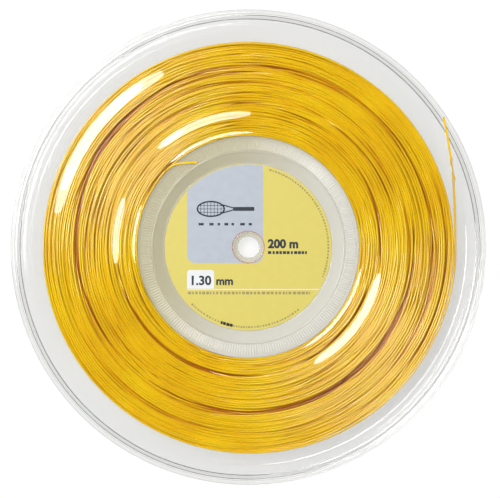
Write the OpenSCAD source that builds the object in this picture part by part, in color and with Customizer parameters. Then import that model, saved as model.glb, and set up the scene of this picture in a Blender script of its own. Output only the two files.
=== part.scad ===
// Tennis string reel: a clear two-part spool, its labels and its winding of string.
// The reel lies on its rear rim. The spindle axis is +Z and the front faces up.

/* [Reel] */
// Outer diameter over the rim beads
reel_d = 266; // [255:1:290]
// Overall width across both rim beads
reel_w = 19; // [19:0.5:26]
// Diameter of the spindle bore
bore_d = 12; // [8:0.5:14]

/* [Flange] */
// Thickness of the flange between the drum and the step
flange_t = 1.8; // [1.4:0.1:2.4]
// Height of the rim bead above the flange's outer face
bead_h = 1.0; // [0.8:0.1:1.5]
// Radial width of the rim bead
bead_w = 2.4; // [2:0.1:4]
// Radius at which the flange steps down to its thinner outer zone
step_r = 121.5; // [119:0.5:122]
// How far the outer zone lies below the rest of the flange's face
step_h = 0.4; // [0.1:0.1:0.6]

/* [Hub] */
// Outer radius of the drum that the string is wound on
drum_r = 62; // [61:0.5:62]
// Wall thickness of the drum, the recess and the web
wall_t = 1.8; // [1.4:0.1:2]
// Radius of the label recess at the flange's face
recess_top_r = 53; // [51:0.5:54]
// Radius of the label recess at its floor
recess_floor_r = 47.4; // [47.2:0.1:49]
// Depth of the label recess below the flange's face
recess_depth = 4.5; // [3.5:0.1:4.5]
// Height of the lip round the recess
lip_h = 0.5; // [0.2:0.1:0.8]
// Outer radius of the spindle boss
boss_r = 8.6; // [8.5:0.1:8.6]
// How far the boss stands above the recess floor
boss_rise = 0.4; // [0.2:0.1:1]

/* [Pegs that join the halves] */
// Number of pegs on each half, and of sockets
peg_count = 3; // [2:1:4]
// Radius of the circle that the pegs stand on
peg_ring_r = 32; // [20:1:38]
// Diameter of a peg
peg_d = 6; // [5:0.5:7]
// How far a peg reaches past the joint into its socket
peg_reach = 2; // [1.5:0.1:2]
// Gap between a peg and its socket, on the radius
peg_gap = 0.02; // [0.01:0.01:0.05]
// Wall thickness of a socket
socket_t = 1.5; // [1:0.1:2]

/* [Labels] */
// Outer radius of a label
label_r = 47; // [45:0.5:47]
// Radius of the hole in a label
label_hole_r = 8.8; // [8.7:0.1:9]
// Thickness of a label
label_t = 0.15; // [0.1:0.05:0.3]

/* [String] */
// Diameter of the string
string_d = 1.3; // [1.1:0.05:1.3]
// Outer radius of the winding
winding_r = 115.5; // [90:0.5:115.5]
// Gap between the winding and the drum
winding_gap = 0.3; // [0.1:0.1:0.6]
// Radius of the winding's outer edges
winding_edge_r = 3; // [1:0.5:5]
// Length of a slot that the string passes through
slot_len = 5.6; // [5.4:0.1:6]
// Width of a slot that the string passes through
slot_w = 2; // [1.9:0.1:2.4]

/* [Hidden] */
$fn = 96;

reel_r = reel_d / 2;
bore_r = bore_d / 2;
mid_z = reel_w / 2;                      // plane in which the halves meet
face_z = reel_w - bead_h;                // front flange's outer face
inner_z = face_z - flange_t;             // front flange's inner face
outer_zone_z = face_z - step_h;          // face of the thinner outer zone
floor_z = face_z - recess_depth;         // recess floor
web_z = floor_z - wall_t;                // underside of the recess floor
bead_corner_r = 0.7;                     // rounding of the rim bead
step_run = 0.8;                          // radial run of the step's ramp
lip_r = recess_top_r + 0.7;              // middle of the lip round the recess
tube_sides = 8;
cut = 1;                                 // how far a cut runs past a surface

// Middle of each string slot as [x, y], and the direction that it runs in, in degrees
outer_slot = [113.8, 47.7];
outer_slot_turn = 101;
inner_slot = [-44.5, 44.4];
inner_slot_turn = 34;

// The string's ends, with heights counted from the front flange's outer face.
// Outer end: up along the winding, through the flange, then over its face
outer_route = [
    [116.3, -8, -4], [116.4, -5, -3.9], [116.4, -2, -3.8], [116.4, 1, -3.7], [116.4, 4, -3.6],
    [116.3, 8, -3.4], [116.2, 12, -3.2], [116.1, 16, -3], [115.9, 20, -2.8], [115.8, 24, -2.7],
    [115.6, 28, -2.7], [115.4, 32, -2.6], [115.2, 36, -2.6], [115, 39, -2.6],
    [114.7, 42, -2.6], [114.4, 44.6, -2.5], [114.1, 46.2, -2.2], [113.8, 47.7, -1.1],
    [113.5, 49.2, 0], [113.2, 50.8, 0.3], [112.7, 53.5, 0.4], [112.1, 57, 0.6],
    [111.4, 61, 0.9], [110.6, 65, 1.2], [109.8, 69, 1.4], [109, 72.6, 1.7]];

// Inner end: up beside the drum, through the flange, then in over the hub
inner_route = [
    [-56.8, 27.7, -3.8], [-55.7, 29.9, -3.6], [-54.4, 32.1, -3.4], [-53.1, 34.2, -3.2],
    [-51.7, 36.3, -3], [-50.2, 38.4, -2.8], [-48.6, 40.4, -2.7], [-47.2, 42, -2.6],
    [-45.9, 43.3, -2.3], [-44.5, 44.4, -0.9], [-43, 45.3, 0.5], [-41.4, 46, 0.7],
    [-39, 46.6, 0.7], [-36.5, 46.9, 0.7], [-34, 47.1, 0.7], [-31.4, 47.2, 0.7],
    [-28.8, 47.2, 0.7]];

function unit(v) = v / norm(v);

// Direction of a route at its point i
function along(route, i) =
    unit(route[min(i + 1, len(route) - 1)] - route[max(i - 1, 0)]);

// The ring of points round a route's point i
function ring(route, i, r) =
    let(forward = along(route, i),
        side = unit(cross(forward, [0, 0, 1])),
        up = cross(side, forward))
    [for (k = [0 : tube_sides - 1])
        let(turn = 360 * (k + 0.5) / tube_sides)
        route[i] + r * (cos(turn) * side + sin(turn) * up)];

// A round tube along a route
module tube(route, r) {
    last = len(route) - 1;
    points = [for (i = [0 : last]) each ring(route, i, r)];
    start = [for (k = [tube_sides - 1 : -1 : 0]) k];
    end = [for (k = [0 : tube_sides - 1]) last * tube_sides + k];
    sides = [for (i = [0 : last - 1], k = [0 : tube_sides - 1])
        let(near = i * tube_sides, next = (k + 1) % tube_sides)
        [near + k, near + next, near + tube_sides + next, near + tube_sides + k]];
    polyhedron(points = points, faces = concat([start], sides, [end]), convexity = 10);
}

// Section of the rim bead, with round corners and a flat land
module bead_section() {
    inside_r = reel_r - bead_w;
    translate([inside_r, inner_z])
        square([bead_w, reel_w - inner_z - bead_corner_r]);
    translate([inside_r + bead_corner_r, inner_z])
        square([bead_w - 2 * bead_corner_r, reel_w - inner_z]);
    for (r = [inside_r + bead_corner_r, reel_r - bead_corner_r])
        translate([r, reel_w - bead_corner_r])
            circle(r = bead_corner_r);
}

// Section of the flange from the drum out to the bead, with its step
module flange_section() {
    polygon([
        [drum_r - wall_t, inner_z],
        [reel_r - bead_w / 2, inner_z],
        [reel_r - bead_w / 2, outer_zone_z],
        [step_r + step_run, outer_zone_z],
        [step_r, face_z],
        [drum_r - wall_t, face_z]]);
}

// Section of the hub: drum wall, crown with its lip, sloped recess wall, web and boss
module hub_section() {
    translate([drum_r - wall_t, mid_z])
        square([wall_t, inner_z - mid_z + wall_t]);
    translate([recess_top_r, face_z - wall_t])
        square([drum_r - recess_top_r - wall_t / 2, wall_t]);
    translate([lip_r, face_z])
        circle(r = lip_h);
    polygon([
        [recess_floor_r, floor_z],
        [recess_top_r, face_z],
        [recess_top_r + wall_t, face_z],
        [recess_top_r + wall_t, face_z - wall_t],
        [recess_floor_r + wall_t, web_z],
        [recess_floor_r, web_z]]);
    translate([boss_r - wall_t, web_z])
        square([recess_floor_r - boss_r + 2 * wall_t, wall_t]);
    translate([bore_r, mid_z])
        square([boss_r - bore_r, floor_z + boss_rise - mid_z]);
}

// Places its children where the pegs or the sockets of a half stand
module on_peg_ring(first_turn) {
    for (i = [0 : peg_count - 1])
        rotate(first_turn + i * 360 / peg_count)
            translate([peg_ring_r, 0, 0])
                children();
}

// Slot for the string, with round ends, through the flange only
module slot(middle, turn) {
    span = slot_len - slot_w;
    translate([middle[0], middle[1], inner_z])
        rotate(turn) {
            translate([-span / 2, -slot_w / 2, 0])
                cube([span, slot_w, flange_t + cut]);
            for (x = [-span / 2, span / 2])
                translate([x, 0, 0])
                    cylinder(d = slot_w, h = flange_t + cut);
        }
}

// One moulding of the spool, as its front half lies
module spool_half() {
    socket_r = peg_d / 2 + peg_gap;
    difference() {
        rotate_extrude($fn = 180) {
            bead_section();
            flange_section();
            hub_section();
        }
        slot(outer_slot, outer_slot_turn);
        slot(inner_slot, inner_slot_turn);
    }
    on_peg_ring(0)
        translate([0, 0, mid_z - peg_reach])
            cylinder(d = peg_d, h = web_z - mid_z + peg_reach + wall_t / 2);
    on_peg_ring(180 / peg_count)
        translate([0, 0, mid_z])
            difference() {
                cylinder(r = socket_r + socket_t, h = web_z - mid_z + wall_t / 2);
                translate([0, 0, -cut])
                    cylinder(r = socket_r, h = web_z - mid_z + cut);
            }
}

// Turns the front's shape over, to where the same shape lies at the rear
module turned_over() {
    translate([0, 0, reel_w])
        rotate([0, 180, 0])
            children();
}

module front_spool_half() {
    color([0.93, 0.94, 0.93, 0.4])
        spool_half();
}

module rear_spool_half() {
    color([0.88, 0.89, 0.88, 0.4])
        turned_over()
            spool_half();
}

// Paper disc stuck on the recess floor, round the boss
module label() {
    translate([0, 0, floor_z])
        difference() {
            cylinder(r = label_r, h = label_t, $fn = 180);
            translate([0, 0, -cut])
                cylinder(r = label_hole_r, h = label_t + 2 * cut);
        }
}

module front_label() {
    color([0.92, 0.86, 0.48])
        label();
}

module rear_label() {
    color([0.78, 0.81, 0.85])
        turned_over()
            label();
}

// All the turns on the drum, as one plain ring between the flanges
module string_winding() {
    winding_w = reel_w - 2 * (reel_w - inner_z);
    color([0.91, 0.72, 0.1])
        rotate_extrude($fn = 180)
            translate([0, mid_z]) {
                inside_r = drum_r + winding_gap;
                edge_z = winding_w / 2 - winding_edge_r;
                translate([inside_r, -winding_w / 2])
                    square([winding_r - winding_edge_r - inside_r, winding_w]);
                translate([inside_r, -edge_z])
                    square([winding_r - inside_r, 2 * edge_z]);
                for (z = [-edge_z, edge_z])
                    translate([winding_r - winding_edge_r, z])
                        circle(r = winding_edge_r);
            }
}

module outer_string_end() {
    color([0.95, 0.78, 0.15])
        translate([0, 0, face_z])
            tube(outer_route, string_d / 2);
}

module inner_string_end() {
    color([0.95, 0.78, 0.15])
        translate([0, 0, face_z])
            tube(inner_route, string_d / 2);
}

front_spool_half();
rear_spool_half();
front_label();
rear_label();
string_winding();
outer_string_end();
inner_string_end();
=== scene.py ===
"""A string reel's looks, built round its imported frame.

A clear two-part spool holds one 200 m length of golden-yellow string. It lies on its rear rim,
front face up. Names ending in _MM, outlines and routes are in millimetres, as the design is.
Blender's own lengths are in metres.
"""

import math

import bpy
import numpy as np
from mathutils import Matrix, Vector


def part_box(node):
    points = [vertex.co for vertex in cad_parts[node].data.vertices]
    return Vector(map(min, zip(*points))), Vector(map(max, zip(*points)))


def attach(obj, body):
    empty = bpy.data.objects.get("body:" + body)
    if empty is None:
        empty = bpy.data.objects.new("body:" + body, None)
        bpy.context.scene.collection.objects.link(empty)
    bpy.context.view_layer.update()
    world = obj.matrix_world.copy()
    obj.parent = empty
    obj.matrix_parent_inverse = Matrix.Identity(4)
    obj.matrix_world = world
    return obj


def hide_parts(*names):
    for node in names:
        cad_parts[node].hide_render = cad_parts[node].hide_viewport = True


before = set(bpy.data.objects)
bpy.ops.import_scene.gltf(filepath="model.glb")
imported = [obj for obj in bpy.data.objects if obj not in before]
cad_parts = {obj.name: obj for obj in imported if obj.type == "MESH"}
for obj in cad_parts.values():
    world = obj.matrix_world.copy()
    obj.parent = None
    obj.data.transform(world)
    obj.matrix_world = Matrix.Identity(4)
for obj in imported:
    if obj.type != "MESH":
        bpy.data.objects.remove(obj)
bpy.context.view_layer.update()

MM = 0.001
BODY = "root"

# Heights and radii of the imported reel, in mm
RIM_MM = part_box("front_spool_half")[1].z / MM          # top of the front rim bead
REEL_R_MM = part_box("front_spool_half")[1].x / MM
WOUND_LOW_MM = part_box("string_winding")[0].z / MM       # the flanges' inner faces
WOUND_HIGH_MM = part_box("string_winding")[1].z / MM
WOUND_R_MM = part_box("string_winding")[1].x / MM
FLOOR_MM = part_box("front_label")[0].z / MM              # floor of the label recess
LABEL_R_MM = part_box("front_label")[1].x / MM
LABEL_T_MM = (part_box("front_label")[1].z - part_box("front_label")[0].z) / MM
MID_MM = RIM_MM / 2                                     # plane in which the halves meet

# The rest of the reel's design, in mm
BEAD_H_MM = 1.0
BEAD_W_MM = 2.4
BEAD_CORNER_MM = 0.7
STEP_R_MM = 121.5
STEP_H_MM = 0.4
DRUM_R_MM = 62.0
WALL_MM = 1.8
RECESS_TOP_R_MM = 53.0
RECESS_FLOOR_R_MM = 47.4
LIP_R_MM = 53.7
LIP_H_MM = 0.5
BORE_R_MM = 6.0
BOSS_R_MM = 8.6
BOSS_RISE_MM = 0.4
LABEL_HOLE_R_MM = 8.8
PEG_RING_R_MM = 32.0
PEG_R_MM = 3.0
PEG_REACH_MM = 2.0
SOCKET_R_MM = 3.02
SOCKET_WALL_MM = 1.5
FACE_MM = RIM_MM - BEAD_H_MM                            # front flange's outer face
STRING_D_MM = 1.3
STRING_LENGTH_MM = 200_000


# ---------------------------------------------------------------- camera
CAMERA_ABOVE_RIM = 0.677
VIEW_WIDTH = 0.2794                                     # across the picture, in the rim's plane
VIEW_SHIFT = (0.0034, -0.0038)                          # the reel lies a little off the picture's middle
SENSOR_MM = 36.0


def make_camera():
    """Looks straight down on the reel's front face, with +Y at the top."""
    data = bpy.data.cameras.new("camera")
    data.sensor_width = SENSOR_MM
    data.lens = SENSOR_MM * CAMERA_ABOVE_RIM / VIEW_WIDTH
    data.shift_x, data.shift_y = VIEW_SHIFT
    camera = bpy.data.objects.new("camera", data)
    camera.location = (0, 0, RIM_MM * MM + CAMERA_ABOVE_RIM)
    bpy.context.scene.collection.objects.link(camera)
    bpy.context.scene.camera = camera


# ---------------------------------------------------------------- node helpers
def new_material(name):
    """An empty node material, with its output node."""
    material = bpy.data.materials.new(name)
    material.use_nodes = True
    material.node_tree.nodes.clear()
    output = material.node_tree.nodes.new("ShaderNodeOutputMaterial")
    return material, material.node_tree, output


def add_node(tree, kind, settings=None, inputs=None):
    """A node with its settings and its inputs, each input a value or a socket to link."""
    node = tree.nodes.new("ShaderNode" + kind)
    for name, value in (settings or {}).items():
        setattr(node, name, value)
    for name, value in (inputs or {}).items():
        if isinstance(value, bpy.types.NodeSocket):
            tree.links.new(value, node.inputs[name])
        else:
            node.inputs[name].default_value = value
    return node


def linear(red, green, blue):
    """A colour given in sRGB, 0 to 255, as the linear one that shaders take."""
    shares = [c / 255 for c in (red, green, blue)]
    return tuple(c / 12.92 if c <= 0.04045 else ((c + 0.055) / 1.055) ** 2.4 for c in shares) + (1,)


def noise(tree, scale, detail):
    """Noise over the object's own coordinates, from 0 to 1."""
    place = add_node(tree, "TexCoord")
    made = add_node(tree, "TexNoise", inputs={
        "Vector": place.outputs["Object"], "Scale": scale, "Detail": detail})
    return made.outputs["Fac"]


def smooth_range(tree, value, start, end, low, high):
    """A number that goes smoothly from low to high as value goes from start to end."""
    return add_node(tree, "MapRange", {"interpolation_type": "SMOOTHSTEP"}, {
        "Value": value, "From Min": start, "From Max": end, "To Min": low, "To Max": high,
    }).outputs["Result"]


def towards(azimuth_deg):
    """The level unit vector at that azimuth."""
    a = math.radians(azimuth_deg)
    return math.cos(a), math.sin(a), 0


def between(tree, factor, low, high):
    """A number that goes from low to high as factor goes from 0.3 to 0.7."""
    return add_node(tree, "MapRange", inputs={
        "Value": factor, "From Min": 0.3, "From Max": 0.7, "To Min": low, "To Max": high,
    }).outputs["Result"]


def blend_colours(tree, factor, colours):
    """A colour ramp through (position, colour) stops."""
    ramp = add_node(tree, "ValToRGB", inputs={"Fac": factor})
    stops = ramp.color_ramp.elements
    while len(stops) < len(colours):
        stops.new(0.5)
    for stop, (position, colour) in zip(stops, colours):
        stop.position = position
        stop.color = colour
    return ramp.outputs["Color"]


def bumped(tree, height, depth):
    """A surface normal for relief of that height pattern, depth in metres."""
    return add_node(tree, "Bump", inputs={
        "Height": height, "Distance": depth, "Strength": 1.0}).outputs["Normal"]


# ---------------------------------------------------------------- materials
SHADE_FROM_MM, SHADE_TO_MM = 1.7, 4.2                   # depths between which painted shade turns the pack amber
SHADE_R_MM = 112.5                                      # radius past which it doesn't
SHADE_EDGE_MM = 0.5                                     # on each side of that radius


def painted_shade_depth(tree):
    """Mask for the painted shade: from 0 in the turns at the winding's two faces to 1 in those well
    below them.
    """
    place = add_node(tree, "TexCoord").outputs["Object"]
    axes = add_node(tree, "SeparateXYZ", inputs={"Vector": place})
    flat = add_node(tree, "VectorMath", {"operation": "MULTIPLY"}, {0: place, 1: (1, 1, 0)})
    radius = add_node(tree, "VectorMath", {"operation": "LENGTH"}, {0: flat.outputs["Vector"]})
    off_middle = add_node(tree, "Math", {"operation": "SUBTRACT"}, {
        0: axes.outputs["Z"], 1: MID_MM * MM})
    height = add_node(tree, "Math", {"operation": "ABSOLUTE"}, {0: off_middle.outputs["Value"]})
    half = (WOUND_HIGH_MM - WOUND_LOW_MM) / 2
    depth = smooth_range(tree, height.outputs["Value"], (half - SHADE_FROM_MM) * MM,
                         (half - SHADE_TO_MM) * MM, 0, 1)
    inside = add_node(tree, "MapRange", inputs={
        "Value": radius.outputs["Value"], "From Min": (SHADE_R_MM - SHADE_EDGE_MM) * MM,
        "From Max": (SHADE_R_MM + SHADE_EDGE_MM) * MM, "To Min": 1.0, "To Max": 0.0})
    return add_node(tree, "Math", {"operation": "MULTIPLY"}, {
        0: depth, 1: inside.outputs["Result"]}).outputs["Value"]


def string_material():
    """Glossy golden monofilament, with painted amber shade on the turns deep in the pack."""
    material, tree, output = new_material("golden_string")
    tint = noise(tree, 38, 3)
    fine = noise(tree, 900, 2)
    gold = blend_colours(tree, tint, [
        (0.25, linear(230, 181, 1)), (0.5, linear(238, 194, 2)), (0.75, linear(243, 205, 4))])
    # painted shade: turns deep in the pack and in its crevices are coloured a darker amber, where shade
    # falls
    amber = blend_colours(tree, tint, [(0.3, linear(178, 102, 2)), (0.7, linear(194, 119, 3))])
    colour = add_node(tree, "Mix", {"data_type": "RGBA"}, {0: painted_shade_depth(tree), 6: gold, 7: amber})
    shader = add_node(tree, "BsdfPrincipled", inputs={
        "Base Color": colour.outputs[2],
        "Roughness": between(tree, fine, 0.08, 0.13),
        "IOR": 1.57,
        "Coat Weight": 0.45,
        "Coat Roughness": 0.03,
        "Normal": bumped(tree, fine, 0.000002)})
    tree.links.new(shader.outputs[0], output.inputs["Surface"])
    return material


PAINTED_SHADE_AZIMUTH = 155                                      # of the side of the hub that gets painted shade and yellow light
PAINTED_SHADE_FROM_MM, PAINTED_SHADE_TO_MM = -25, 42                      # from the axis towards that side


def painted_side_shade(tree, colour, shaded_tint):
    """Painted shade and yellow light: a tint that goes from colour on one side of the hub to a darker,
    more yellow one on the other.
    """
    place = add_node(tree, "TexCoord").outputs["Object"]
    off = add_node(tree, "VectorMath", {"operation": "DOT_PRODUCT"}, {
        0: place, 1: towards(PAINTED_SHADE_AZIMUTH)})
    share = smooth_range(tree, off.outputs["Value"], PAINTED_SHADE_FROM_MM * MM, PAINTED_SHADE_TO_MM * MM, 0, 1)
    return add_node(tree, "Mix", {"data_type": "RGBA"}, {0: share, 6: colour, 7: shaded_tint}).outputs[2]


# The moulding's finishes in the order of its material slots: kind, tint, colour of the light that
# passes straight through, roughness, clearness, and the painted shade tint of the hub's darker, more
# yellow side if it has one
FRONT_PLASTICS = [
    ("clear", (0.98, 0.982, 0.98, 1), (0.95, 0.952, 0.95, 1), 0.03, 1.0, None),
    ("frosted", (0.725, 0.715, 0.665, 1), (0.95, 0.95, 0.94, 1), 0.14, 0.55, (0.6, 0.565, 0.41, 1)),
    # painted light: one flank of each rib, tinted lighter than the frosted hub
    ("rib", (0.82, 0.81, 0.765, 1), (0.95, 0.95, 0.94, 1), 0.14, 0.55, (0.67, 0.635, 0.475, 1)),
    ("rim", (0.8, 0.805, 0.79, 1), (0.95, 0.952, 0.95, 1), 0.03, 1.0, None)]
REAR_PLASTICS = [
    ("clear", (0.975, 0.978, 0.974, 1), (0.93, 0.932, 0.93, 1), 0.03, 1.0, None),
    ("frosted", (0.885, 0.872, 0.815, 1), (0.93, 0.93, 0.92, 1), 0.14, 0.8, None),
    # painted shade: one flank of each rib, tinted darker than the frosted hub
    ("rib", (0.66, 0.65, 0.605, 1), (0.93, 0.93, 0.92, 1), 0.14, 0.8, None),
    ("rim", (0.8, 0.805, 0.79, 1), (0.93, 0.932, 0.93, 1), 0.03, 1.0, None)]


def plastic_material(name, tint, milk, roughness, clearness, shaded_tint):
    """Moulded plastic. Light from the lamps and off matt surfaces passes straight through."""
    material, tree, output = new_material(name)
    flow = noise(tree, 22, 2)
    # painted shade: one side of the hub is tinted darker and more yellow, standing in for shade and the
    # string's yellow light
    if shaded_tint:
        tint = painted_side_shade(tree, tint, shaded_tint)
    glass = add_node(tree, "BsdfPrincipled", inputs={
        "Base Color": tint,
        "Roughness": roughness,
        "IOR": 1.59,
        "Transmission Weight": clearness,
        "Normal": bumped(tree, flow, 0.00004)})
    open_way = add_node(tree, "BsdfTransparent", inputs={"Color": milk})
    path = add_node(tree, "LightPath")
    for_matt = add_node(tree, "MixShader")
    for_lamps = add_node(tree, "MixShader")
    tree.links.new(path.outputs["Is Diffuse Ray"], for_matt.inputs[0])
    tree.links.new(glass.outputs[0], for_matt.inputs[1])
    tree.links.new(open_way.outputs[0], for_matt.inputs[2])
    tree.links.new(path.outputs["Is Shadow Ray"], for_lamps.inputs[0])
    tree.links.new(for_matt.outputs[0], for_lamps.inputs[1])
    tree.links.new(open_way.outputs[0], for_lamps.inputs[2])
    tree.links.new(for_lamps.outputs[0], output.inputs["Surface"])
    return material


def paper_material(name, colour, mottle):
    """Coated paper: an even print colour with a faint mottle and a satin surface."""
    material, tree, output = new_material(name)
    cloud = noise(tree, 240, 4)
    grain = noise(tree, 5200, 2)
    shade = tuple(c * mottle for c in colour[:3]) + (1,)
    shader = add_node(tree, "BsdfPrincipled", inputs={
        "Base Color": blend_colours(tree, cloud, [(0.3, shade), (0.7, colour)]),
        "Roughness": between(tree, grain, 0.38, 0.52),
        "IOR": 1.45,
        "Normal": bumped(tree, grain, 0.000006)})
    tree.links.new(shader.outputs[0], output.inputs["Surface"])
    return material


def floor_material():
    """Plain pale studio floor."""
    material, tree, output = new_material("studio_floor")
    shader = add_node(tree, "BsdfPrincipled", inputs={
        "Base Color": (0.3, 0.3, 0.3, 1), "Roughness": 0.9, "Specular IOR Level": 0.1,
        "Emission Color": (1, 1, 1, 1), "Emission Strength": 0.68})
    tree.links.new(shader.outputs[0], output.inputs["Surface"])
    return material


# ---------------------------------------------------------------- mesh helpers
def mesh_object(name, points_mm, faces, material, smooth=True):
    """A mesh piece from points in mm."""
    mesh = bpy.data.meshes.new(name)
    mesh.from_pydata(np.asarray(points_mm, float) * MM, [], faces)
    mesh.polygons.foreach_set("use_smooth", [smooth] * len(mesh.polygons))
    mesh.materials.append(material)
    mesh.update()
    made = bpy.data.objects.new(name, mesh)
    bpy.context.scene.collection.objects.link(made)
    return made


def unit(vector):
    return vector / np.linalg.norm(vector)


SUPPORT_MM = 0.12                                       # from a corner's arc to the point that holds it
SUPPORT_ROOM_MM = 0.5                                   # straight length that leaves room for them


def rounded(corners, steps=4):
    """An outline through corners (r, z, corner radius), with each corner as an arc.

    A point just off each arc's end keeps the flat faces' shading flat."""
    places = [np.array(corner[:2], float) for corner in corners]
    arcs = []
    for i, (r, z, radius) in enumerate(corners):
        here = places[i]
        back = unit(places[i - 1] - here)
        ahead = unit(places[(i + 1) % len(corners)] - here)
        half = math.acos(np.clip(back @ ahead, -1, 1)) / 2
        arcs.append((here, back, ahead, half, radius / math.tan(half) if radius else 0))
    outline = []
    for i, (here, back, ahead, half, cut) in enumerate(arcs):
        if not cut:
            outline.append(here)
            continue
        middle = here + unit(back + ahead) * corners[i][2] / math.sin(half)
        first = here + back * cut - middle
        last = here + ahead * cut - middle
        turn = math.atan2(first[0] * last[1] - first[1] * last[0], first @ last)
        before, after = arcs[i - 1], arcs[(i + 1) % len(arcs)]
        if np.linalg.norm(here - before[0]) - cut - before[4] > SUPPORT_ROOM_MM:
            outline.append(here + back * (cut + SUPPORT_MM))
        for k in range(steps + 1):
            a = turn * k / steps
            spin = np.array([[math.cos(a), -math.sin(a)], [math.sin(a), math.cos(a)]])
            outline.append(middle + spin @ first)
        if np.linalg.norm(here - after[0]) - cut - after[4] > SUPPORT_ROOM_MM:
            outline.append(here + ahead * (cut + SUPPORT_MM))
    return outline


# ---------------------------------------------------------------- clear spool
SEGMENTS = 500
RIB_H_MM = 0.32                                         # relief of the ribs on the crown
RIB_IN_R_MM, RIB_OUT_R_MM = 54.8, 60.4
RIB_RAMP_MM = 0.25                                      # at each end of a rib
HALF_GAP_MM = 0.02                                      # from the mid plane to each half
SHARP_DEG = 32                                          # edges that turn more than this look sharp
HUB_R_MM = 62.1                                         # the moulding is frosted inside this
SOFTENING = np.linspace(-1, 1, 5)                       # offsets whose mean smooths a corner
BAND_SOFT_MM, SHARE_SOFT_DEG = 1, 4                     # half widths it works over

# The outer face's shallow relief: each band's knots (radius, how far the face sinks), and its share
# of that at azimuths in degrees
INNER_BAND = [(62, 0), (63.2, 0), (65.6, 0.42), (70.8, -0.25), (77.6, 0.52), (84, 0.4), (103, 0)]
INNER_SHARE = [(0, 0.3), (78, 0.3), (92, 0.85), (130, 0.85), (139, 0.3), (153, 0.3), (160, 0.8),
               (184, 0.8), (196, 0.3), (290, 0.3), (302, 1), (346, 1), (358, 0.3), (360, 0.3)]
OUTER_BAND = [(84, 0), (104.5, -0.28), (112, 0.27), (121.5, 0)]
OUTER_SHARE = [(0, 0.25), (111, 0.25), (123, 0.78), (133, 1), (153, 1), (163, 0.78), (175, 0.25),
               (360, 0.25)]


def softened(at, knots, half_width):
    """The value at each place on the line through knots, with the line's corners smoothed."""
    places, values = zip(*knots)
    return np.mean([np.interp(at + off, places, values) for off in half_width * SOFTENING], 0)


def relief(r, turn, band, share):
    """How far a band of the relief sinks the face at radii r, for each angle turn."""
    return (softened(np.degrees(turn), share, SHARE_SOFT_DEG)[:, None]
            * softened(r, band, BAND_SOFT_MM)[None, :])


# Rings of points on the flange's outer face, close where the relief is steep: from, up to and step
FACE_RINGS = [(62, 71, 0.75), (71, 86, 1.5), (86, 102, 4), (102.5, 120.6, 1.5)]


def half_outline():
    """Outline (r, z) of a half's section, which points the ribs lift and which the relief sinks."""
    inner = WOUND_HIGH_MM
    zone = FACE_MM - STEP_H_MM
    web = FLOOR_MM - WALL_MM
    foot = MID_MM + HALF_GAP_MM
    lip_in, lip_out = LIP_R_MM - LIP_H_MM, LIP_R_MM + LIP_H_MM
    bead_in = REEL_R_MM - BEAD_W_MM
    first = rounded([
        (BORE_R_MM, foot, 0.1),
        (BORE_R_MM, FLOOR_MM + BOSS_RISE_MM, 0.3),
        (BOSS_R_MM, FLOOR_MM + BOSS_RISE_MM, 0.2),
        (BOSS_R_MM, FLOOR_MM, 0.1),
        (RECESS_FLOOR_R_MM, FLOOR_MM, 0.5),
        (RECESS_TOP_R_MM, FACE_MM, 0.05),
        (lip_in + 0.05, FACE_MM + LIP_H_MM, 0.3),
        (lip_out - 0.05, FACE_MM + LIP_H_MM, 0.3),
        (lip_out + 0.1, FACE_MM, 0.1),
        (RIB_IN_R_MM, FACE_MM, 0)])
    ribs = [(RIB_IN_R_MM + RIB_RAMP_MM, FACE_MM), (RIB_OUT_R_MM - RIB_RAMP_MM, FACE_MM)]
    face = [(r, FACE_MM) for low, high, step in FACE_RINGS for r in np.arange(low, high, step)]
    rest = rounded([
        (RIB_OUT_R_MM, FACE_MM, 0),
        (STEP_R_MM, FACE_MM, 0.3),
        (STEP_R_MM + 0.8, zone, 0.3),
        (bead_in, zone, 0.4),
        (bead_in, RIM_MM, BEAD_CORNER_MM),
        (REEL_R_MM, RIM_MM, BEAD_CORNER_MM),
        (REEL_R_MM, inner, 0.3),
        (DRUM_R_MM, inner, 0.4),
        (DRUM_R_MM, foot, 0.1),
        (DRUM_R_MM - WALL_MM, foot, 0.1),
        (DRUM_R_MM - WALL_MM, inner, 0.4),
        (RECESS_TOP_R_MM + WALL_MM, inner, 0.4),
        (RECESS_FLOOR_R_MM + WALL_MM, web, 0.5),
        (BOSS_R_MM, web, 0.3),
        (BOSS_R_MM, foot, 0.1)])
    outline = first + ribs + rest[:1] + face + rest[1:]
    lifted = [len(first), len(first) + 1]
    sunk = list(range(len(first) + 3, len(first) + 3 + len(face)))
    return np.array([np.asarray(p, float) for p in outline]), lifted, sunk


def lathe(name, outline, lifted, sunk, material):
    """Turns the section round the spindle axis, with a rib on every second line of points."""
    count = len(outline)
    turn = np.arange(SEGMENTS) * 2 * math.pi / SEGMENTS
    r = np.tile(outline[:, 0], (SEGMENTS, 1))
    z = np.tile(outline[:, 1], (SEGMENTS, 1))
    z[1::2, lifted] += RIB_H_MM
    for band, share in ((INNER_BAND, INNER_SHARE), (OUTER_BAND, OUTER_SHARE)):
        z[:, sunk] -= relief(outline[sunk, 0], turn, band, share)
    points = np.stack([r * np.cos(turn)[:, None], r * np.sin(turn)[:, None], z], -1)
    i, k = np.meshgrid(np.arange(SEGMENTS), np.arange(count), indexing="ij")
    ahead, up = (i + 1) % SEGMENTS, (k + 1) % count
    faces = np.stack([i * count + k, i * count + up, ahead * count + up, ahead * count + k], -1)
    return mesh_object(name, points.reshape(-1, 3), faces.reshape(-1, 4), material)


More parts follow.
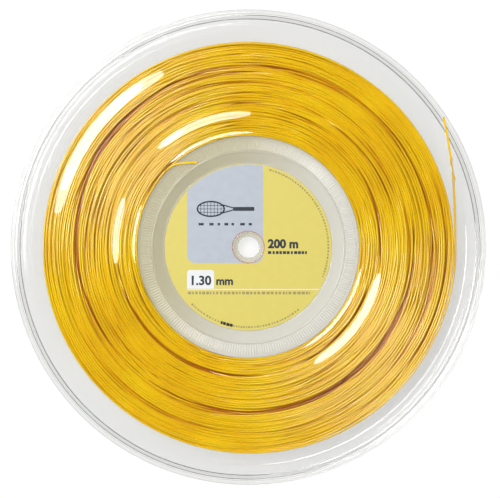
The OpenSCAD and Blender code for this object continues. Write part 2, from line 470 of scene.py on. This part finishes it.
def give_finishes(piece, outline, lifted, materials):
    """Gives the hub, one flank of each rib and the rim their own materials, in that order. The rib
    flank's own tint is painted light and shade, so that the ribs show as a hatch.
    """
    for material in materials:
        piece.data.materials.append(material)
    here, following = outline[:, 0], np.roll(outline[:, 0], -1)
    which = np.zeros((SEGMENTS, len(outline)), np.int32)
    which[:, np.maximum(here, following) < HUB_R_MM] = 1
    # painted light and shade: one flank of each rib gets the rib tint, so that the ribs show as a hatch
    which[::2, lifted[0] - 1:lifted[1] + 1] = 2
    which[:, np.minimum(here, following) > REEL_R_MM - BEAD_W_MM - 0.01] = 3
    piece.data.polygons.foreach_set("material_index", which.ravel())


def prism(outline_mm, low_mm, high_mm):
    """A closed upright solid over an outline of (x, y) points, to cut or join with."""
    count = len(outline_mm)
    points = [(x, y, low_mm) for x, y in outline_mm] + [(x, y, high_mm) for x, y in outline_mm]
    faces = [list(range(count))[::-1], list(range(count, 2 * count))]
    faces += [[k, (k + 1) % count, count + (k + 1) % count, count + k] for k in range(count)]
    return mesh_object("tool", points, faces, None)


def circle(x, y, radius, steps=48):
    return [(x + radius * math.cos(a), y + radius * math.sin(a))
            for a in np.arange(steps) * 2 * math.pi / steps]


def stadium(middle, turn_deg, length, width, steps=12):
    """A slot's outline with round ends."""
    along = np.array([math.cos(math.radians(turn_deg)), math.sin(math.radians(turn_deg))])
    across = np.array([-along[1], along[0]])
    outline = []
    for side in (1, -1):
        end = np.array(middle) + side * along * (length - width) / 2
        for k in range(steps + 1):
            a = math.pi * k / steps - math.pi / 2
            outline.append(tuple(end + side * width / 2 * (along * math.cos(a) + across * math.sin(a))))
    return outline


def boolean(piece, tool, operation):
    """Applies one boolean to the piece and removes the tool."""
    modifier = piece.modifiers.new(operation, "BOOLEAN")
    modifier.operation = operation
    modifier.solver = "MANIFOLD"
    modifier.object = tool
    graph = bpy.context.evaluated_depsgraph_get()
    made = bpy.data.meshes.new_from_object(piece.evaluated_get(graph), depsgraph=graph)
    piece.modifiers.clear()
    old = piece.data
    piece.data = made
    bpy.data.meshes.remove(old)
    bpy.data.objects.remove(tool)


OUTER_SLOT = ((113.8, 47.7), 101, 5.6, 2.0)             # middle, turn, length and width
INNER_SLOT = ((-44.5, 44.4), 34, 5.6, 2.0)


def spool_half(name, materials):
    """One moulding, as the front half lies."""
    outline, lifted, sunk = half_outline()
    piece = lathe(name, outline, lifted, sunk, materials[0])
    give_finishes(piece, outline, lifted, materials[1:])
    web = FLOOR_MM - WALL_MM
    root = web + WALL_MM / 2                            # pegs and sockets start inside the web
    for slot_shape in (OUTER_SLOT, INNER_SLOT):
        boolean(piece, prism(stadium(*slot_shape), WOUND_HIGH_MM - 0.2, RIM_MM + 1), "DIFFERENCE")
    for azimuth in (0, 120, 240):
        x, y = (PEG_RING_R_MM * share for share in towards(azimuth)[:2])
        boolean(piece, prism(circle(x, y, PEG_R_MM), MID_MM - PEG_REACH_MM, root), "UNION")
        boolean(piece, prism(circle(-x, -y, SOCKET_R_MM + SOCKET_WALL_MM),
                             MID_MM + HALF_GAP_MM, root), "UNION")
        boolean(piece, prism(circle(-x, -y, SOCKET_R_MM), MID_MM - 1, web), "DIFFERENCE")
    piece.data.set_sharp_from_angle(angle=math.radians(SHARP_DEG))
    return piece


def turned_over(piece, name, materials):
    """A copy of a front piece, turned over to where it lies at the rear."""
    mesh = piece.data.copy()
    mesh.transform(Matrix.Translation((0, 0, RIM_MM * MM)) @ Matrix.Rotation(math.pi, 4, "Y"))
    made = bpy.data.objects.new(name, mesh)
    made.data.name = name
    for k, material in enumerate(materials):
        made.data.materials[k] = material
    bpy.context.scene.collection.objects.link(made)
    return made


def plastics(end, finishes):
    """The materials of the half at that end."""
    return [plastic_material(f"{kind}_plastic_{end}", *values) for kind, *values in finishes]


def make_spool():
    """Both halves, the rear one turned over."""
    front_plastics = plastics("front", FRONT_PLASTICS)
    rear_plastics = plastics("rear", REAR_PLASTICS)
    front = spool_half("front_spool", front_plastics)
    rear = turned_over(front, "rear_spool", rear_plastics)
    for piece, node in ((front, "front_spool_half"), (rear, "rear_spool_half")):
        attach(piece, BODY)
        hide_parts(node)


# ---------------------------------------------------------------- string
# The ends' routes, in mm, with heights counted from the front flange's outer face
OUTER_ROUTE = [
    (116.3, -8, -4), (116.4, -5, -3.9), (116.4, -2, -3.8), (116.4, 1, -3.7), (116.4, 4, -3.6),
    (116.3, 8, -3.4), (116.2, 12, -3.2), (116.1, 16, -3), (115.9, 20, -2.8), (115.8, 24, -2.7),
    (115.6, 28, -2.7), (115.4, 32, -2.6), (115.2, 36, -2.6), (115, 39, -2.6),
    (114.7, 42, -2.6), (114.4, 44.6, -2.5), (114.1, 46.2, -2.2), (113.8, 47.7, -1.1),
    (113.5, 49.2, 0), (113.2, 50.8, 0.3), (112.7, 53.5, 0.4), (112.1, 57, 0.6),
    (111.4, 61, 0.9), (110.6, 65, 1.2), (109.8, 69, 1.4), (109, 72.6, 1.7)]
INNER_ROUTE = [
    (-56.8, 27.7, -3.8), (-55.7, 29.9, -3.6), (-54.4, 32.1, -3.4), (-53.1, 34.2, -3.2),
    (-51.7, 36.3, -3), (-50.2, 38.4, -2.8), (-48.6, 40.4, -2.7), (-47.2, 42, -2.6),
    (-45.9, 43.3, -2.3), (-44.5, 44.4, -0.9), (-43, 45.3, 0.5), (-41.4, 46, 0.7),
    (-39, 46.6, 0.7), (-36.5, 46.9, 0.7), (-34, 47.1, 0.7), (-31.4, 47.2, 0.7),
    (-28.8, 47.2, 0.7)]


def string_end(name, node, route, material):
    """A free end of the string, as a curve through its route's points."""
    curve = bpy.data.curves.new(name, "CURVE")
    curve.dimensions = "3D"
    curve.bevel_depth = STRING_D_MM * MM / 2
    curve.bevel_resolution = 4
    curve.resolution_u = 5
    curve.use_fill_caps = True
    spline = curve.splines.new("BEZIER")
    spline.bezier_points.add(len(route) - 1)
    points = [(x * MM, y * MM, (FACE_MM + z) * MM) for x, y, z in route]
    for knot, point in zip(spline.bezier_points, points):
        knot.co = point
        knot.handle_left_type = knot.handle_right_type = "AUTO"
    curve.materials.append(material)
    piece = bpy.data.objects.new(name, curve)
    bpy.context.scene.collection.objects.link(piece)
    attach(piece, BODY)
    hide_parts(node)


STATIONS = 120                                          # points to a turn
PER_LAYER = 9.6                                         # turns across the drum in one pass
SIDES = 8
WINDING_PIECES = 6
WINDING_SEED = 11
# How the string strays from an even winding: points from one random number to the next, and size
LAYER_STRAY = (900, 0.12)                               # in layers
HEIGHT_STRAY = (70, 0.9)
RADIUS_STRAYS = [(50, 0.75), (260, 0.6)]
STEP_UP_FROM, STEP_UP_OVER = 0.8, 0.2                   # shares of a layer: climbs after, and during
JOIN_POINTS = 45                                        # over which each end nears its free end
DRUM_GAP_MM = 0.3                                       # from the drum to the first layer
OVERSHOOT = 1.2                                         # so that the turns crowd at the flanges
SETTLING_STEPS = 110                                    # rounds of pushing and smoothing
EVEN_STEPS = 100                                        # of those, with more smoothing
SMOOTHINGS, LATE_SMOOTHINGS = 5, 2                      # in a round
PUSH, SMOOTHING, SPREAD = 0.4, 0.25, 0.02               # strengths: apart, along, to the flanges
FACE_STEPS = 5                                          # rounds from one look at the faces to the next
NEIGHBOURS = 44                                         # turns further along that a turn may touch


def wander(rng, count, reach, size):
    """Smooth random numbers along the string, with a new one every reach points."""
    knots = rng.normal(0, size, count // reach + 3)
    raw = np.interp(np.arange(count) / reach, np.arange(len(knots)), knots)
    window = np.hanning(reach + 2)
    return np.convolve(np.pad(raw, reach, "edge"), window / window.sum(), "same")[reach:-reach]


def push_apart(r, z, free, share):
    """Moves turns that lie in each other apart, station by station."""
    for k in range(1, NEIGHBOURS):
        step = k * STATIONS
        dr, dz = r[step:] - r[:-step], z[step:] - z[:-step]
        gap = dr * dr + dz * dz
        at = np.nonzero(gap < STRING_D_MM ** 2)[0]
        if not len(at):
            continue
        apart = np.sqrt(np.maximum(gap[at], 1e-6))
        push = share * (STRING_D_MM - apart) / apart
        for side, sign in ((at, -1), (at + step, 1)):
            r[side] += sign * push * dr[at] * free[side]
            z[side] += sign * push * dz[at] * free[side]


CREVICES = 11                                           # small ones on each face of the winding
CREVICE_REACH = (0.9, 2.4)                              # in radians
CREVICE_HALF_MM = (0.45, 0.8)                           # half width
CREVICE_DRIFT_MM = 1.5                                  # for each radian
CREVICE_DEPTH_MM = 3.8
CREVICE_SHARE = (0.2, 0.75)                             # of that depth
CREVICE_EDGE_MM = 0.5
DEEPEST_MM = 4.2
SWELL_MM = 0.75                                         # mean depth of the waves over each face
SLOW_WAVES = (0.6, 1.4, 3, 0.8, 1.9)                    # size from, to, most round, across from, to
RIDGE_MM = 0.8                                          # of the turns that stand out at a face
RIDGE_WAVES = (0.8, 1.2, 4, 2.3, 2.8)
# The front face's large grooves: middle and reach in degrees, radius, drift for each radian, half
# width and depth
GROOVES = [
    (165, 55, 98, -4.5, 0.9, 3.6), (305, 68, 93, 0, 1.0, 3.9), (240, 42, 73, -1, 0.75, 3.2),
    (235, 18, 105, 0, 0.5, 2.6), (33, 15, 87, -1, 0.55, 3.0), (85, 18, 93, 0, 0.45, 2.2),
    (92, 14, 80.6, 0, 0.45, 2.4)]


def make_crevices(rng, low_r, high_r):
    """Small grooves in a face: middle angle, reach, radius, drift, half width and depth."""
    step = (high_r - low_r) / CREVICES
    return [(rng.uniform(0, 2 * math.pi), rng.uniform(*CREVICE_REACH),
             low_r + step * (k + rng.uniform()), rng.normal(0, CREVICE_DRIFT_MM),
             rng.uniform(*CREVICE_HALF_MM), CREVICE_DEPTH_MM * rng.uniform(*CREVICE_SHARE))
            for k in range(CREVICES)]


def make_waves(rng, count, size, kind):
    """Waves over a face: size, how many round, how fast they change across, and shift."""
    smallest, largest, around, slowest, fastest = kind
    return [(size * rng.uniform(smallest, largest), rng.integers(-around, around + 1),
             rng.uniform(slowest, fastest), rng.uniform(0, 6.3)) for _ in range(count)]


def face_shapes(rng, low_r, high_r):
    """The grooves and waves of the front face and of the rear face."""
    shapes = []
    for large in (GROOVES, []):
        waves = make_waves(rng, 4, SWELL_MM / 3, SLOW_WAVES) + make_waves(rng, 2, RIDGE_MM, RIDGE_WAVES)
        grooves = [(math.radians(a), math.radians(b), *others) for a, b, *others in large]
        shapes.append((grooves + make_crevices(rng, low_r, high_r), waves))
    return shapes


def swell(angle, r, waves):
    """Slow waves over a face of the winding, in mm below the flange."""
    return SWELL_MM + sum(size * np.sin(around * angle + across * r + shift)
                          for size, around, across, shift in waves)


def face_depth(crevices, angle, r, waves):
    """How far the turns at those angles and radii lie below the flange, in mm."""
    depth = np.maximum(swell(angle, r, waves), 0)
    for middle, reach, radius, drift, half_width, deep in crevices:
        off = (angle - middle + math.pi) % (2 * math.pi) - math.pi
        here = half_width * np.clip(1.6 - 1.6 * np.abs(off) / reach, -1, 1)
        across = np.abs(r - radius - drift * off)
        depth += deep * np.clip((here - across) / CREVICE_EDGE_MM + 1, 0, 1) * (here > 0)
    return np.minimum(depth, DEEPEST_MM)


def wound_path():
    """The winding's centre line as one string: angle in radians, radius and height in mm."""
    start, end = INNER_ROUTE[0], OUTER_ROUTE[0]
    first_turn = math.atan2(start[1], start[0])
    last_turn = math.atan2(end[1], end[0])
    low_r = DRUM_R_MM + DRUM_GAP_MM + STRING_D_MM / 2
    high_r = WOUND_R_MM - STRING_D_MM / 2
    whole = int(STRING_LENGTH_MM / (math.pi * (low_r + high_r)))
    sweep = (last_turn - first_turn) % (2 * math.pi) + (whole - 1) * 2 * math.pi
    count = round(sweep / (2 * math.pi) * STATIONS) + 1
    angle = first_turn + np.linspace(0, sweep, count)

    rng = np.random.default_rng(WINDING_SEED)
    turn = np.arange(count) / STATIONS
    layer = turn / PER_LAYER + wander(rng, count, *LAYER_STRAY)
    half = (WOUND_HIGH_MM - WOUND_LOW_MM - STRING_D_MM) / 2
    there_and_back = 4 * np.abs((layer / 2 + 0.25) % 1 - 0.5) - 1
    z = np.clip(OVERSHOOT * half * there_and_back, -half, half)
    z += wander(rng, count, *HEIGHT_STRAY)
    climb = np.clip((layer % 1 - STEP_UP_FROM) / STEP_UP_OVER, 0, 1) + np.floor(layer)
    r = low_r + (high_r - low_r) * climb / climb[-1]
    r += sum(wander(rng, count, *stray) for stray in RADIUS_STRAYS)

    free = np.ones(count)                               # 0 where a point is held
    free[:3] = free[-3:] = 0
    fade = np.clip(1 - np.arange(count) / JOIN_POINTS, 0, 1)
    near_start = fade ** 2 * (3 - 2 * fade)
    near_end = near_start[::-1]
    start_r, end_r = math.hypot(*start[:2]), math.hypot(*end[:2])
    start_z, end_z = (FACE_MM + p[2] - MID_MM for p in (start, end))
    r += near_start * (start_r - r) + near_end * (end_r - r)
    z += near_start * (start_z - z) + near_end * (end_z - z)
    top_r = high_r + near_end * (end_r - high_r)
    faces = face_shapes(rng, low_r, high_r)
    held = near_start + near_end
    for step in range(SETTLING_STEPS):
        push_apart(r, z, free, PUSH)
        for _ in range(SMOOTHINGS if step < EVEN_STEPS else LATE_SMOOTHINGS):
            r[1:-1] += SMOOTHING * free[1:-1] * (r[:-2] + r[2:] - 2 * r[1:-1])
            z[1:-1] += SMOOTHING * free[1:-1] * (z[:-2] + z[2:] - 2 * z[1:-1])
        z += SPREAD * free * z / half
        r = np.clip(r, low_r, np.maximum(top_r, low_r))
        if step % FACE_STEPS == 0:
            front, rear = (half - np.clip(1 - 2 * held, 0, 1) * face_depth(c, angle, r, w)
                           for c, w in faces)
        z = np.clip(z, -rear, front)
    return angle, r, z + MID_MM


def strip_map(mesh, station, side, count):
    """A UV map in strips: one row for each turn, with its sides beside each other."""
    rows = math.ceil(count / STATIONS)
    u = (station % STATIONS)[:, None] + np.array([0, 1, 1, 0])
    v = (station // STATIONS)[:, None] + (side[:, None] + np.array([0, 0, 1, 1])) / SIDES
    uv = np.stack([u / STATIONS, v / rows], -1)
    mesh.uv_layers.new(name="OFBake").data.foreach_set("uv", uv.ravel())


def winding(material):
    """All the turns, as a tube in a few pieces, each of which starts on the last one's end ring."""
    angle, r, z = wound_path()
    out = np.stack([np.cos(angle), np.sin(angle), np.zeros(len(angle))], -1)
    up = np.array([0, 0, 1.0])
    middle = r[:, None] * out + z[:, None] * up
    length = np.linalg.norm(np.diff(middle, axis=0), axis=1).sum()
    print(f"winding: {len(angle) / STATIONS:.1f} turns, {length / 1000:.1f} m of string")
    side = (np.arange(SIDES) + 0.5) * 2 * math.pi / SIDES
    ring = np.cos(side)[None, :, None] * out[:, None] + np.sin(side)[None, :, None] * up
    points = middle[:, None] + STRING_D_MM / 2 * ring
    cuts = np.linspace(0, len(angle) - 1, WINDING_PIECES + 1).astype(int)
    for part, (low, high) in enumerate(zip(cuts[:-1], cuts[1:])):
        count = high - low + 1
        i, k = np.meshgrid(np.arange(count - 1), np.arange(SIDES), indexing="ij")
        following = (k + 1) % SIDES
        faces = np.stack([i * SIDES + k, (i + 1) * SIDES + k, (i + 1) * SIDES + following,
                          i * SIDES + following], -1).reshape(-1, 4)
        piece = mesh_object(f"string_turns_{part + 1}", points[low:high + 1].reshape(-1, 3),
                            faces, material)
        strip_map(piece.data, i.ravel(), k.ravel(), count)
        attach(piece, BODY)
        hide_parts("string_winding")


# ---------------------------------------------------------------- labels
PRINT_LOW_MM = 0.03                                     # top of the printed block over the paper
PRINT_HIGH_MM = 0.06                                    # top of the marks over the paper

# The print's places, from the spindle's axis with the label upright. Boxes: left, right, foot, top
BLOCK_LEFT_MM, BLOCK_RIGHT_MM, BLOCK_FOOT_MM = -34.5, 8.3, -9.0
BLOCK_CORNER_MM = 4.5
BLOCK_R_MM = LABEL_R_MM - 0.35                          # its upper side follows the label's edge
BLOCK_HOLE_R_MM = 9.0
PLATE = (-34.5, -19.3, -23.4, -12.9)
PLATE_CORNER_MM = 1.6
LINE = (-34.5, 40, -24.0, -23.6)
RING_R_MM, RING_W_MM = 9.2, 0.25
RACKET_MM = (-12.6, 21.5)
# Dashes in place of print. Rows: left, right, foot, top, mean dash and gap. Arcs: radius, first and
# last azimuth, height, mean dash and gap
NAVY_ROWS = [(-28, 2, 12.2, 13.6, 2.2, 2.2), (11.1, 33, -3.9, -2.3, 1.3, 0.5)]
OLIVE_ROWS = [(-34, 34.8, -26.6, -25.1, 1.3, 0.6)]
OLIVE_ARCS = [(44.6, -22, 75, 1.0, 0.9, 0.6), (44.6, 225, 310, 1.0, 0.9, 0.6)]
NAVY_ARCS = [(44.2, 250, 259, 1.7, 1.1, 0.35)]
# Figures and units: ending of the piece's name, text, left, foot, height and added boldness
FIGURES = [("gauge", "1.30", -33.1, -21.2, 5.2, 0.24), ("unit", "mm", -18.2, -21.2, 4.6, 0.22),
           ("length", "200 m", 11.1, -0.4, 4.9, 0.3)]
LABEL_SEED = 5
DASH_STRAY, GAP_STRAY = (0.6, 1.5), (0.8, 1.6)          # shares of the mean
FIGURE_SHARE = 0.73                                     # a figure's height over the typeface's size


def ink_material(name, colour):
    """Printed ink, slightly uneven in strength and gloss."""
    return paper_material(name, colour, 0.93)


def flat_shapes(name, outlines, low_mm, high_mm, material):
    """A piece of thin upright prisms, one over each outline of (x, y) points."""
    points, faces = [], []
    for outline in outlines:
        base, count = len(points), len(outline)
        points += [(x, y, low_mm) for x, y in outline] + [(x, y, high_mm) for x, y in outline]
        faces += [[base + k for k in range(count)][::-1], [base + count + k for k in range(count)]]
        faces += [[base + k, base + (k + 1) % count, base + count + (k + 1) % count,
                   base + count + k] for k in range(count)]
    return mesh_object(name, points, faces, material, False)


def box_outline(left, right, low, high, corner=0.0, which="all"):
    """A rectangle's outline, with round corners at the bottom, at the top or all round."""
    outline = []
    for x, y, start in ((right, low, -90), (right, high, 0), (left, high, 90), (left, low, 180)):
        is_low = y == low
        if corner == 0 or (which == "low" and not is_low) or (which == "high" and is_low):
            outline.append((x, y))
            continue
        cx = x + (corner if x == left else -corner)
        cy = y + (corner if is_low else -corner)
        for k in range(5):
            a = math.radians(start + 22.5 * k)
            outline.append((cx + corner * math.cos(a), cy + corner * math.sin(a)))
    return outline


def dash_row(rng, left, right, low, high, mean, gap):
    """Dashes like a line of tiny print."""
    row = []
    x = left
    while x < right - 0.4 * mean:
        width = mean * rng.uniform(*DASH_STRAY)
        row.append(box_outline(x, min(x + width, right), low, high))
        x += width + gap * rng.uniform(*GAP_STRAY)
    return row


def dash_arc(rng, radius, start, end, height, mean, gap):
    """Dashes like tiny print along an arc, between azimuths in degrees."""
    arc = []
    a = start
    while a < end:
        width = mean * rng.uniform(*DASH_STRAY)
        span = math.degrees(width / radius)
        turns = [math.radians(a), math.radians(a + span)]
        arc.append([(r * math.cos(t), r * math.sin(t))
                    for r, t in ((radius, turns[0]), (radius + height, turns[0]),
                                 (radius + height, turns[1]), (radius, turns[1]))][::-1])
        a += span + math.degrees(gap / radius) * rng.uniform(*GAP_STRAY)
    return arc


def ring_outline(x, y, across, up, width, steps=40):
    """The two halves of an oval ring's outline."""
    halves = []
    for first in (0, 180):
        turns = np.radians(first + 180 * np.arange(steps + 1) / steps)
        outer = [(x + across * math.cos(a), y + up * math.sin(a)) for a in turns]
        inner = [(x + (across - width) * math.cos(a), y + (up - width) * math.sin(a)) for a in turns]
        halves.append(outer + inner[::-1])
    return halves


def racket_marks(x, y):
    """A plain racket lying on its side, about 33 mm long, its head to the left."""
    head_x, across, up = x - 8.5, 8.0, 4.6
    apart, half = 1.9, 0.14                             # of the racket's strings
    marks = ring_outline(head_x, y, across, up, 0.9)
    for k in range(-3, 4):
        reach = up * math.sqrt(1 - (apart * k / across) ** 2) - 0.3
        middle = head_x + apart * k
        marks.append(box_outline(middle - half, middle + half, y - reach, y + reach))
    for k in (-1, 0, 1):
        reach = across * math.sqrt(1 - (apart * k / up) ** 2) - 0.3
        middle = y + apart * k
        marks.append(box_outline(head_x - reach, head_x + reach, middle - half, middle + half))
    neck = head_x + across
    marks.append([(neck - 1.4, y + 2.6), (neck - 0.9, y + 1.7), (neck + 4.5, y + 0.3),
                  (neck + 4.5, y + 1.0)][::-1])
    marks.append([(neck - 1.4, y - 2.6), (neck - 0.9, y - 1.7), (neck + 4.5, y - 0.3),
                  (neck + 4.5, y - 1.0)])
    marks.append(box_outline(neck + 4.5, neck + 16.5, y - 1.1, y + 1.1, 0.5))
    return marks


def lettering(name, text, left, low, height_mm, bold_mm, high_mm, material):
    """A plain number or unit in Blender's own typeface, as thin solid shapes."""
    curve = bpy.data.curves.new(name, "FONT")
    curve.body = text
    curve.size = height_mm * MM / FIGURE_SHARE
    curve.offset = bold_mm * MM
    curve.extrude = PRINT_HIGH_MM * MM / 2
    curve.resolution_u = 4
    typed = bpy.data.objects.new("typed", curve)
    bpy.context.scene.collection.objects.link(typed)
    graph = bpy.context.evaluated_depsgraph_get()
    mesh = bpy.data.meshes.new_from_object(typed.evaluated_get(graph), depsgraph=graph)
    bpy.data.objects.remove(typed)
    mesh.name = name
    mesh.transform(Matrix.Translation((left * MM, low * MM, (high_mm - PRINT_HIGH_MM / 2) * MM)))
    mesh.materials.clear()
    mesh.materials.append(material)
    made = bpy.data.objects.new(name, mesh)
    bpy.context.scene.collection.objects.link(made)
    return made


def paper_disc(name, material):
    """The label's paper, a thin disc with a hole round the boss."""
    low, high = FLOOR_MM + 0.01, FLOOR_MM + LABEL_T_MM
    outline = np.array(rounded([(LABEL_HOLE_R_MM, low, 0.03), (LABEL_HOLE_R_MM, high, 0.05),
                                (LABEL_R_MM, high, 0.05), (LABEL_R_MM, low, 0.03)], 2))
    return lathe(name, outline, [], [], material)


def block_outline():
    """The printed block: two upright sides, the label's arc on top and round corners below."""
    edge = BLOCK_R_MM
    top_left, top_right = (math.sqrt(edge ** 2 - x ** 2) for x in (BLOCK_LEFT_MM, BLOCK_RIGHT_MM))
    azimuths = np.radians(np.arange(75.6, 136.1, 1.5))
    arc = [(edge * math.cos(a), edge * math.sin(a)) for a in azimuths]
    inside = [(x, y) for x, y in arc if BLOCK_LEFT_MM < x < BLOCK_RIGHT_MM]
    foot = box_outline(BLOCK_LEFT_MM, BLOCK_RIGHT_MM, BLOCK_FOOT_MM, 0, BLOCK_CORNER_MM, "low")
    return [(BLOCK_RIGHT_MM, top_right)] + inside + [(BLOCK_LEFT_MM, top_left)] + foot[-5:] + foot[:5]


def label_pieces(end):
    """The label at one end of the reel, as it lies at the front: paper and print."""
    rng = np.random.default_rng(LABEL_SEED)
    top = FLOOR_MM + LABEL_T_MM
    block_top, mark_top = top + PRINT_LOW_MM, top + PRINT_HIGH_MM
    paper = paper_material("label_yellow", linear(206, 191, 93), 0.965)
    grey_blue = ink_material("ink_grey_blue", linear(171, 178, 188))
    navy = ink_material("ink_navy", linear(12, 28, 46))
    olive = ink_material("ink_olive", linear(150, 142, 84))
    white = ink_material("ink_white", linear(220, 222, 222))
    magenta = ink_material("ink_magenta", linear(168, 50, 110))

    navy_marks, olive_marks = [], []
    for marks, dashes, lines in ((navy_marks, dash_row, NAVY_ROWS), (olive_marks, dash_row, OLIVE_ROWS),
                                 (olive_marks, dash_arc, OLIVE_ARCS), (navy_marks, dash_arc, NAVY_ARCS)):
        for line in lines:
            marks += dashes(rng, *line)
    block = flat_shapes(end + "_label_block", [block_outline()], top, block_top, grey_blue)
    boolean(block, prism(circle(0, 0, BLOCK_HOLE_R_MM), top - 1, block_top + 1), "DIFFERENCE")
    plates = [box_outline(*PLATE, PLATE_CORNER_MM, "high"), box_outline(*LINE)]
    ring = ring_outline(0, 0, RING_R_MM, RING_R_MM, RING_W_MM)
    return [
        paper_disc(end + "_label_paper", paper),
        block,
        flat_shapes(end + "_label_mark", racket_marks(*RACKET_MM) + navy_marks, top, mark_top, navy),
        flat_shapes(end + "_label_dashes", olive_marks, top, mark_top, olive),
        flat_shapes(end + "_label_plate", plates, top, block_top, white),
        flat_shapes(end + "_label_ring", ring, top, mark_top, magenta),
        *(lettering(f"{end}_label_{ending}", *figure, mark_top, navy) for ending, *figure in FIGURES)]


def make_label(front, rear):
    """Both labels, the rear one turned over."""
    for piece in label_pieces(front):
        other = turned_over(piece, piece.name.replace(front, rear), piece.data.materials[:])
        for made, end in ((piece, front), (other, rear)):
            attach(made, BODY)
            if made.name.endswith("_paper"):
                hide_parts(end + "_label")


# ---------------------------------------------------------------- stage and light
LIGHT_FAR = 1.5                                         # from the reel to each softbox


def softbox(name, azimuth_deg, from_zenith_deg, size, strength):
    """A rectangular light that looks at the reel."""
    data = bpy.data.lights.new(name, "AREA")
    data.shape = "RECTANGLE"
    data.size, data.size_y = size
    data.energy = strength
    light = bpy.data.objects.new(name, data)
    a, b = math.radians(azimuth_deg), math.radians(from_zenith_deg)
    light.location = (LIGHT_FAR * math.sin(b) * math.cos(a), LIGHT_FAR * math.sin(b) * math.sin(a),
                      LIGHT_FAR * math.cos(b))
    light.rotation_euler = (0, b, a)                    # a light shines along its own -Z
    bpy.context.scene.collection.objects.link(light)


FLOOR_REACH_MM = 12000                                  # so that its edge shows in no view
FLOOR_TOP_MM = -0.2                                     # just clear of the reel's rear rim
MAIN_AZIMUTH, SECOND_AZIMUTH = 143, 324
GLARE_ANGLE, SPREAD_ANGLE = 25, 46                      # from the zenith
# Softboxes: name, azimuth, angle from the zenith, size, power. The spreads fill in below the lights
# that the flanges mirror as glare
SOFTBOXES = [
    ("main_light", MAIN_AZIMUTH, GLARE_ANGLE, (0.36, 0.85), 14.0),
    ("main_spread", MAIN_AZIMUTH, SPREAD_ANGLE, (0.75, 0.85), 4.0),
    ("second_light", SECOND_AZIMUTH, GLARE_ANGLE, (0.36, 0.4), 5.6),
    ("second_spread", SECOND_AZIMUTH, SPREAD_ANGLE, (0.75, 0.5), 1.2),
    ("left_light", 172, 21.5, (0.24, 0.28), 2.0),
    ("top_light", 112, 21.5, (0.24, 0.38), 2.6)]
WALL_LIGHT = 0.5
CEILING_LIGHT = 0.06
WALL_ENDS = (0.25, 0.65)                                # heights in the sky, 0 to 1, where walls fade
GLOW_LIGHT = 0.12                                       # at least this much towards the main light
GLOW_STARTS = (0.04, 0.2)                               # how far that way, 0 to 1, the glow sets in


def studio_world():
    """White walls and a dark ceiling, so that flat plastic mirrors little from above.

    The half of the ceiling towards the main light is lighter."""
    world = bpy.data.worlds.new("studio")
    world.use_nodes = True
    tree = world.node_tree
    place = add_node(tree, "TexCoord").outputs["Generated"]
    axes = add_node(tree, "SeparateXYZ", inputs={"Vector": place})
    wall = smooth_range(tree, axes.outputs["Z"], *WALL_ENDS, WALL_LIGHT, CEILING_LIGHT)
    side = add_node(tree, "VectorMath", {"operation": "DOT_PRODUCT"}, {
        0: place, 1: towards(MAIN_AZIMUTH)})
    glow = smooth_range(tree, side.outputs["Value"], *GLOW_STARTS, 0, GLOW_LIGHT)
    both = add_node(tree, "Math", {"operation": "MAXIMUM"}, {0: wall, 1: glow})
    background = tree.nodes["Background"]
    background.inputs["Color"].default_value = (1, 1, 1, 1)
    tree.links.new(both.outputs["Value"], background.inputs["Strength"])
    bpy.context.scene.world = world


def make_stage():
    """The floor, the sky and the lights."""
    far, level = FLOOR_REACH_MM, FLOOR_TOP_MM
    corners = [(-far, -far, level), (far, -far, level), (far, far, level), (-far, far, level)]
    mesh_object("floor", corners, [(0, 1, 2, 3)], floor_material(), False)
    studio_world()
    for values in SOFTBOXES:
        softbox(*values)
    bpy.context.scene.view_settings.view_transform = "Standard"


# ---------------------------------------------------------------- the scene
make_camera()
golden = string_material()
string_end("string_outer_tail", "outer_string_end", OUTER_ROUTE, golden)
string_end("string_inner_tail", "inner_string_end", INNER_ROUTE, golden)
winding(golden)
make_spool()
make_label("front", "rear")
make_stage()
